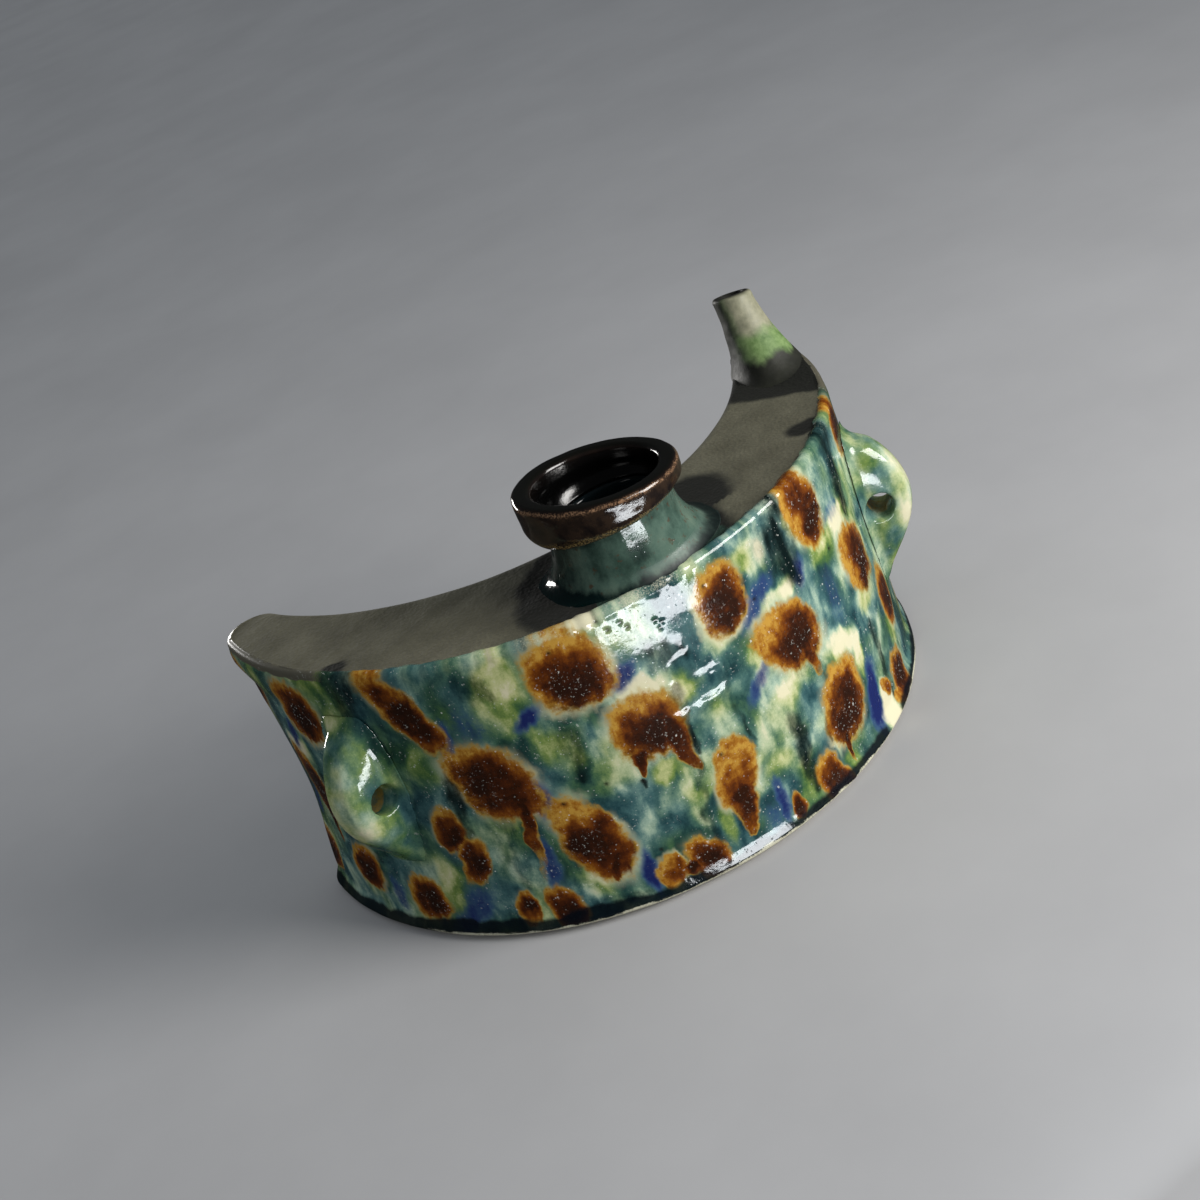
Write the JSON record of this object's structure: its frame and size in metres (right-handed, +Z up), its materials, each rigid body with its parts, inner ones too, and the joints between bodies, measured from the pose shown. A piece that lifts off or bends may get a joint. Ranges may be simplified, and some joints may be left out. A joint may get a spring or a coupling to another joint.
{
  "type": "crescent flask",
  "caption": "Crescent-shaped stoneware hip flask with a flat top, a short neck with a heavy lip, a pouring spout on one horn and pierced lugs for a cord",
  "frame": {"origin": "on the table, under the middle of the mouth", "axes": "+X along the crescent to the horn with the spout, -Y out of the convex front, +Z up"},
  "size_m": [0.1822, 0.099, 0.1105],
  "materials": {
    "bare_clay": "unglazed fired stoneware, matt",
    "front_glaze": "glossy running three-colour glaze in green, blue and amber brown over cream",
    "back_glaze": "glossy running green and cream glaze",
    "shoulder_clay": "dark olive grey fired clay, matt and finely pitted",
    "neck_glaze": "glossy grey green glaze",
    "lip_glaze": "glossy black brown glaze that breaks to bronze on its edges",
    "spout_glaze": "satin cream and grass green glaze",
    "lug_glaze": "glossy pale cream green glaze",
    "coil_clay": "unglazed fired stoneware, matt"
  },
  "bodies": {
    "root": {"base_slab": "bare_clay", "outer_wall": "front_glaze", "inner_wall": "back_glaze", "top_slab": "shoulder_clay", "neck": "neck_glaze", "lip_ring": "lip_glaze", "spout": "spout_glaze", "lug_left": "lug_glaze", "lug_right": "lug_glaze", "base_seam_coil": "coil_clay", "top_seam_coil": "coil_clay", "left_end_coil": "coil_clay", "right_end_coil": "coil_clay"}
  },
  "joints": []
}
